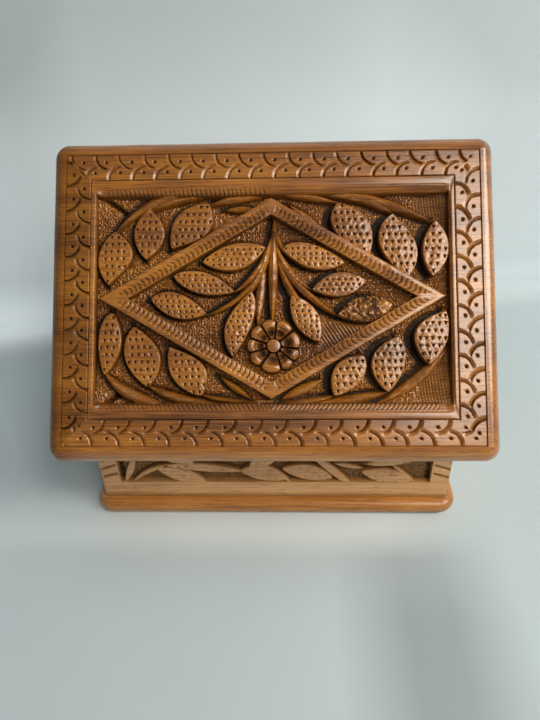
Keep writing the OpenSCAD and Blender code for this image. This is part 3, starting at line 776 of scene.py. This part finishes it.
half_share = band_w / 2 * np.hypot(diamond_x, diamond_y) / (diamond_x * diamond_y)
reach_in, reach_out = 1 - half_share, 1 + half_share
left_tip = ((-diamond_x * reach_in, 0), (-diamond_x * reach_out, 0))
top_tip = ((0, diamond_y * reach_in), (0, diamond_y * reach_out))
right_tip = ((diamond_x * reach_in, 0), (diamond_x * reach_out, 0))
foot_tip = ((0, -diamond_y * reach_in), (0, -diamond_y * reach_out))
bands = [
    band_solid(left_tip, top_tip, 1.0, 1), band_solid(top_tip, right_tip, 1.0, 1),
    band_solid(left_tip, foot_tip, 1.0, -1), band_solid(foot_tip, right_tip, -1.0, 1)]
add_lid_piece("lid_diamond", bands, 50)

# Flower: a round button inside nine petals, each with a raised round end and a scooped middle.
# Deep radial cuts part the petals.
flower_x, flower_y, flower_r, button_r, petals = 0.8, -16.2, 9.2, 2.2, 9


def flower_solid():
    """Polar grid. The outline is scalloped by a half circle on each petal; the height is a ring of rounded
    ends less a scoop, less the cuts between petals, with the button as a low dome in the middle."""
    angle = np.linspace(0, 2 * np.pi, 361)[None, :-1]
    share = np.linspace(0.01, 1, 56)[:, None]
    turned = angle + 0.09 * np.sin(2 * angle + 1) + 0.06 * np.sin(3 * angle + 2)
    petal = (turned * petals / (2 * np.pi)) % 1 - 0.5
    outline = flower_r * (0.80 + 0.20 * np.sqrt(unit(1 - (1.96 * petal) ** 2)))
    radius = share * outline
    from_cut = (0.5 - np.abs(petal)) * 2 * np.pi * radius / petals
    bulge = 1 - (2 * petal) ** 2
    number = np.floor(turned[0] * petals / (2 * np.pi)).astype(int) % petals
    uneven = np.random.default_rng(8).uniform(-1, 1, (3, petals))[:, number]
    knob = 7.2 + 0.35 * uneven[0]
    top = 8.45 + (0.55 + 0.15 * uneven[1]) * np.exp(-((radius - knob) / 1.35) ** 2) * bulge
    top = top - (1.35 + 0.3 * uneven[2]) * np.exp(-((radius - 4.6) / 1.15) ** 2) * bulge
    top = top - 1.6 * unit(1 - from_cut / 0.5) ** 1.2
    top = top - 0.55 * np.exp(-((radius - knob + 1.15) / 0.35) ** 2) * bulge
    top = top - 1.1 * unit(1 - (outline - radius) / 0.8) ** 2
    button = 9.35 + 0.25 * (1 - (radius / button_r) ** 2)
    height = np.where(radius < button_r, button, top - 0.6 * eased(3.0, button_r, radius))
    # Painted shade: the flower darkens where it lies below 8.7 and round the button, and its walls are dark.
    hollow = np.clip((8.7 - height) * 0.7, 0, 0.9) + 0.5 * eased(0.3, 0, np.abs(radius - button_r - 0.15))
    x = flower_x + radius * np.cos(angle)
    y = flower_y + radius * np.sin(angle)
    walls = []
    for lean, low in ((0.12, 7.0), (0.2, root_z)):
        edge = outline + lean
        walls.append((flower_x + edge * np.cos(angle), flower_y + edge * np.sin(angle), low + 0 * angle))
    x, y, height = [np.concatenate(grids) for grids in zip((x, y, height), *walls)]
    hollow = unit(np.concatenate([hollow, 0.7 + 0 * angle, 0.9 + 0 * angle]))
    count, around = x.shape
    middle = [[flower_x, flower_y, 9.6], [flower_x, flower_y, root_z]]
    here = np.arange(around)
    there = (here + 1) % around
    last = (count - 1) * around
    fans = [fan(count * around, here, there), fan(count * around + 1, last + there, last + here)]
    points = np.concatenate([np.stack([x, y, height], -1).reshape(-1, 3), middle])
    faces = [sheet_faces(count, around, True)[:, ::-1]] + fans
    return points, faces, np.concatenate([hollow.ravel(), [0, 0.9]])


add_lid_piece("lid_flower", [flower_solid()], 45)

# Ground of the lid: the field is cut away between the motifs and matted with a small punch.
# Two right-hand corners are crosshatched with a fine gouge, and mitre cuts mark the left ones.


def pits(x, y, pitch, radius, seed):
    """Round pits, one in each square cell at a random place: 1 in the middle, 0 from the radius on."""
    column = np.floor(x / pitch).astype(int)
    row = np.floor(y / pitch).astype(int)
    shift = np.random.default_rng(seed).uniform(-0.4, 0.4, (2, 128, 128)) * pitch
    dx = x - (column + 0.5) * pitch - shift[0][row % 128, column % 128]
    dy = y - (row + 0.5) * pitch - shift[1][row % 128, column % 128]
    return unit(1 - (dx * dx + dy * dy) / radius ** 2)


def groove(x, y, a, b, half_width):
    """A V cut from point a to point b: 1 on its line and 0 from half_width on."""
    share, offset, length = beside_run(x, y, a, b)
    apart = np.hypot((share - unit(share)) * length, offset)
    return unit(1 - apart / half_width)


def ground_half(start, end):
    """Half of the field as a height field: a wavy floor, higher in the corners, less pits and cuts."""
    x, y = np.meshgrid(np.linspace(start, end, 300), np.linspace(-37.5, 36.5, 300))
    level = 6.45 + 0.25 * wobble(x, y, 7, 50) + 0.18 * wobble(x, y, 2.4, 51)
    level += 1.3 * eased(-50, -58.5, x) * eased(27, 33, np.abs(y))
    level += 0.9 * eased(53, 59, x) * eased(22, 30, np.abs(y))
    level += 1.2 * eased(-32, -35.5, y) * eased(-60, -40, x)
    punched = np.maximum(pits(x, y, 0.86, 0.46, 52), 0.8 * pits(x + 0.4, y + 0.5, 1.13, 0.46, 53))
    hatched = eased(47, 50, x) * np.maximum(eased(22, 25, y), eased(-14, -18, y))
    hatch = 1 - np.minimum(zigzag(x + 0.12 * y, 1.0), zigzag(y - 0.12 * x, 1.0))
    strokes = eased(14, 19, x) * eased(33, 29, x) * eased(-7, -9, y) * eased(-19, -17, y)
    stroke_cuts = zigzag(x * 0.83 + y * 0.55, 1.1)
    matting = punched * (1 - hatched) * (1 - strokes) + hatch * hatched + stroke_cuts * strokes
    upper_mitre = groove(x, y, (-60, 37), (-50.5, 30.5), 1.3)
    mitres = np.maximum(upper_mitre, groove(x, y, (-60, -38.5), (-51, -31.8), 1.3))
    # Painted shadow: left of each motif, where its shadow falls, the ground is cut deeper and darkened; the
    # zone reaches further left on the right half.
    shadow_side = np.zeros_like(x)
    slip = 1.0 + 1.1 * eased(-10, 15, x)
    for row in outer_leaves + inner_leaves + stem_rows + wedges:
        shadow_side = np.maximum(shadow_side, eased(-1.9, 0.2, leaf_margin(x + slip, y - 0.3, row)))
    height = level - 0.6 * matting * (1 - 0.6 * shadow_side) - 2.2 * mitres - 1.0 * shadow_side
    # Painted shade as well: the pits, the mitre cuts and the lower parts of the ground are darkened.
    hollow = 0.04 + 0.62 * matting + 0.9 * mitres - 0.12 * (level - 6.5) + 0.9 * shadow_side
    return np.stack([x, y, height], -1).reshape(-1, 3), [sheet_faces(*x.shape)], unit(hollow).ravel()


for name, start, end in (("lid_ground_left", -59.3, 0.02), ("lid_ground_right", -0.02, 59.3)):
    add_lid_piece(name, [ground_half(start, end)], 75)

# Walls: four boards, mitred at the corners, with a plain foot, a sunk panel between plain posts and a
# plain top. Slanted gouge notches mark the posts, and inside the box the boards are smooth.
box_w, box_d, wall_t, base_t, box_h = 128, 87, 8, 6, 40
panel_margin, panel_low, panel_high, panel_deep = 6.7, 13.7, 34, 2.5
bed_z, bed_back = 39.2, 7.6
drawn_panel_w = 114.6
wall_leaves = [
    (-43, 6.8, -25, -0.6, 3.4, 3.4), (-40, 8.3, -11.5, 5.2, 2.4, 1.6), (-42, 13, -29, 9.5, 2.4, 1.8),
    (-12.5, 5.6, 4, 1, 5.2, 2.6), (-9, 8, 2, 14, 3, 3), (3, 6.8, 21.5, 1.8, 4.2, 3.2),
    (32, 5.2, 51, 0.8, 3.4, 4), (33, 9, 50, 10.6, 2.2, 1.5),
    (-50, 15.5, -38, 19, 2.2, 2.2), (-24, 13.5, -8, 18.5, 2.6, 2.6), (24, 13.5, 40, 18.5, 2.6, 2.6)]
wall_stems = [
    (-55.8, -0.3, -50.5, 13, -0.3, 1.4), (-53, -0.5, -38.5, 8.6, 1.2, 1), (-52, 10.5, -44, 17, 0, 0.9),
    (0, 6.8, 6.5, -1.2, 0, 0.8), (13, 14.5, 30, -3.5, 0, 1.7), (22, 9.2, 32.5, 6.8, 0, 1),
    (42, 9.5, 52, -0.4, 0, 0.7), (44, 12, 54, 17.5, 1, 0.9), (-6, 16.5, 14, 14.5, 2, 0.9)]


def wall_frame(length, hinge_beds):
    """The board without its motifs, carried round a section of foot, face, top and inner face.
    A point's distance from the end grows with its depth, which makes the mitres."""
    half = length / 2
    panel_half = half - panel_margin
    panel_edge = [panel_half - 0.02, panel_half + 0.02]
    post = np.concatenate([panel_edge, np.linspace(panel_half + 0.3, half - 0.25, 18)])
    columns = np.concatenate([-post[::-1], np.linspace(0.4 - panel_half, panel_half - 0.4, 40), post])
    beds = [side * hinge_x + end * bed_half for side in (-1, 1) for end in (-1, 1)] if hinge_beds else []
    columns = with_steps(columns, beds)
    columns = np.concatenate([[-half], columns, [half]])
    face_z = np.concatenate([
        np.linspace(base_t, 13.6, 14), [13.68, 13.72], np.linspace(14, 33.7, 50), [33.98, 34.02],
        np.linspace(34.2, 39.0, 10), [bed_z - 0.02, bed_z + 0.02, 39.7]])
    top_y = np.array([0.3, 1.5, 4.0, 6.5, bed_back - 0.02, bed_back + 0.02, 7.75])
    depth = np.concatenate([0 * face_z, top_y, [wall_t, wall_t, wall_t, wall_t], [4.0]])
    level = np.concatenate([face_z, np.full(len(top_y), float(box_h)), [39.8, 30, 15, base_t], [base_t]])
    level[len(face_z)] = 39.97
    share = columns / half
    x = share[:, None] * (half - np.clip(depth, 0, wall_t)[None, :])
    z = level[None, :] + 0 * x
    sunk = (np.abs(columns)[:, None] < panel_half) & (z > panel_low) & (z < panel_high) & (depth == 0)
    notch = np.zeros_like(x)
    for side in (-1, 1):
        for low, rise in ((16.3, 1.6), (20.3, 1.9), (24.6, 1.7), (29, 1.8)):
            cut = groove(x, z, (side * (half - 5.6), low + rise), (side * (half - 0.6), low), 0.75)
            notch = np.maximum(notch, cut * (depth == 0))
    y = depth[None, :] + np.where(sunk, panel_deep + 0.4, 0) + 0.75 * notch + 0 * x
    if hinge_beds:
        near_hinge = np.abs(np.abs(columns) - hinge_x)[:, None] < bed_half
        z = np.where(near_hinge & (z > bed_z) & (depth < bed_back), bed_z, z)
    # Painted shade: the sunk panel, the notches and the inner faces are darkened, and the outer face darkens
    # toward its foot.
    hollow = np.where(sunk, 0.5, 0) + 0.8 * notch + 0.25 * (y > wall_t - 0.01)
    hollow = hollow + 0.5 * eased(8.6, 6.2, z) * (depth == 0)
    rings = np.stack([x, y, z], -1)
    count, around = rings.shape[:2]
    caps = [np.arange(around)[None, :], (count - 1) * around + np.arange(around)[None, ::-1]]
    faces = [sheet_faces(count, around, True)[:, ::-1]] + caps
    return rings.reshape(-1, 3), faces, unit(hollow).ravel()


def wall_panel(length, seed):
    """Stippled ground of the panel: a sheet pitted by the punch, which runs on behind the frame."""
    half = length / 2 - panel_margin
    across = np.linspace(-half - 0.2, half + 0.2, int(length / 0.36))
    x, z = np.meshgrid(across, np.linspace(panel_low - 0.2, panel_high + 0.2, 58))
    punched = np.maximum(pits(x, z, 0.95, 0.5, seed), 0.8 * pits(x + 0.4, z + 0.3, 1.2, 0.5, seed + 1))
    y = panel_deep + 0.1 + 0.2 * wobble(x, z, 5, seed + 2) + 0.35 * punched - 0.2
    points = np.stack([x, y, z], -1).reshape(-1, 3)
    # Painted shade: the stippled ground is darkened, more in the pits and toward its ends beside the posts.
    shaded = 0.42 + 0.4 * punched + 0.4 * eased(half - 2.2, half - 1.2, np.abs(x))
    return points, [sheet_faces(*x.shape)], unit(shaded).ravel()


def faint_marks(x, z, row):
    return 0.5 * punch_marks(x, z, row, (2.6, 2.2), 0.36, 5) + 0.3 * eased(0.35, 0.9, wobble(x, z, 1.3, 79))


def wall_motifs(length):
    """Leaves and stems of the panel, stretched to its size and cut off where they would cross its frame."""
    half = length / 2 - panel_margin
    stretch = 2 * half / drawn_panel_w
    parts = []
    for row in wall_leaves + as_leaves(wall_stems):
        is_stem = row[4] + row[5] < 3.5
        ends = (row[0] * stretch, row[1], row[2] * stretch, row[3])
        moved = ends + (row[4] * stretch, row[5] * stretch, 0.5, 0.5)
        top, marks = (2.05, None) if is_stem else (2.25, faint_marks)
        points, faces, hollow = leaf_solid(moved, top, 0.25, -0.3, 0.35, marks, 0.3)
        points[:, 1] = np.clip(points[:, 1], -0.1, panel_high - panel_low + 0.1)
        points[:, 0] = np.clip(points[:, 0], -half - 0.1, half + 0.1)
        placed = np.stack([points[:, 0], panel_deep - points[:, 2], points[:, 1] + panel_low], -1)
        parts.append((placed, faces, hollow))
    return parts


def add_wall(node, length, turn, away, material, hinge_beds=False):
    """One wall: its board, stippled ground and motifs, turned about the box and moved out to its side."""
    cos, sin = np.cos(turn), np.sin(turn)

    def place(points):
        y = points[:, 1] - away
        return np.stack([cos * points[:, 0] - sin * y, sin * points[:, 0] + cos * y, points[:, 2]], -1) / 1000

    ground = wall_panel(length, int(turn * 10) + 80)
    shapes = (("_board", [wall_frame(length, hinge_beds)], 38), ("_ground", [ground], 75),
              ("_leaves", wall_motifs(length), 50))
    for ending, parts, smooth_below in shapes:
        add_piece(node + ending, parts, place, material, "box", node, smooth_below)


add_wall("hinge_side_wall", box_w, 0, box_d / 2, wall_walnut, True)
add_wall("right_wall", box_d, np.pi / 2, box_w / 2, lightened_side_walnut)
add_wall("opening_side_wall", box_w, np.pi, box_d / 2, wall_walnut)
add_wall("left_wall", box_d, -np.pi / 2, box_w / 2, lightened_side_walnut)


# Base board: a plain walnut board with a half-round edge, screwed on from below.
def dress(node, material):
    """Gives a carried-over CAD node its material."""
    frame["nodes"][node].data.materials.clear()
    frame["nodes"][node].data.materials.append(material)


dress("base_board", base_walnut)


# Brass: the two small hinges are stamped from sheet and rubbed bright; the screws and pins are turned.
def brass(name, bright, dull, shine):
    """Brass with tarnish in clouds and fine brush lines along the hinge; shine is the mean roughness."""
    material, shader, tree, place = fresh_material(name)
    cloud = place.noise(420, 4, 0.6)
    brushed = place.stretched((300, 5200, 5200)).noise(1, 2, 0.5)
    tarnish = (cloud * 2.2 - 0.7).clamped()
    colour = tarnish.mixed(bright, dull)
    rough = (tarnish * 0.2 + brushed * 0.12 + (shine - 0.12)).clamped(0.1, 0.8)
    relief = {"Strength": 0.2, "Distance": 0.00005, "Height": brushed + cloud}
    colour.into(shader, "Base Color")
    rough.into(shader, "Roughness")
    tree.node("Bump", {}, relief).into(shader, "Normal")
    shader.inputs["Metallic"].default_value = 1
    return material


hinge_brass = brass("hinge_brass", paint(222, 184, 112), paint(150, 108, 56), 0.34)
screw_brass = brass("screw_brass", paint(212, 172, 104), paint(132, 94, 50), 0.4)
for name in frame["nodes"]:
    if "screws" in name or name.endswith("hinge_pin"):
        dress(name, screw_brass)
    elif name.endswith("_leaf"):
        dress(name, hinge_brass)

# Dowels: short pegs of pale wood, glued across the mitres and hidden in them.
dowel_tones = ((214, 178, 128), (194, 154, 104), (158, 118, 74))
dowel_wood = walnut("dowel_wood", (0, 0, np.pi / 4), *dowel_tones, 0.6)
for name in ("left_corner_dowels", "right_corner_dowels"):
    dress(name, dowel_wood)
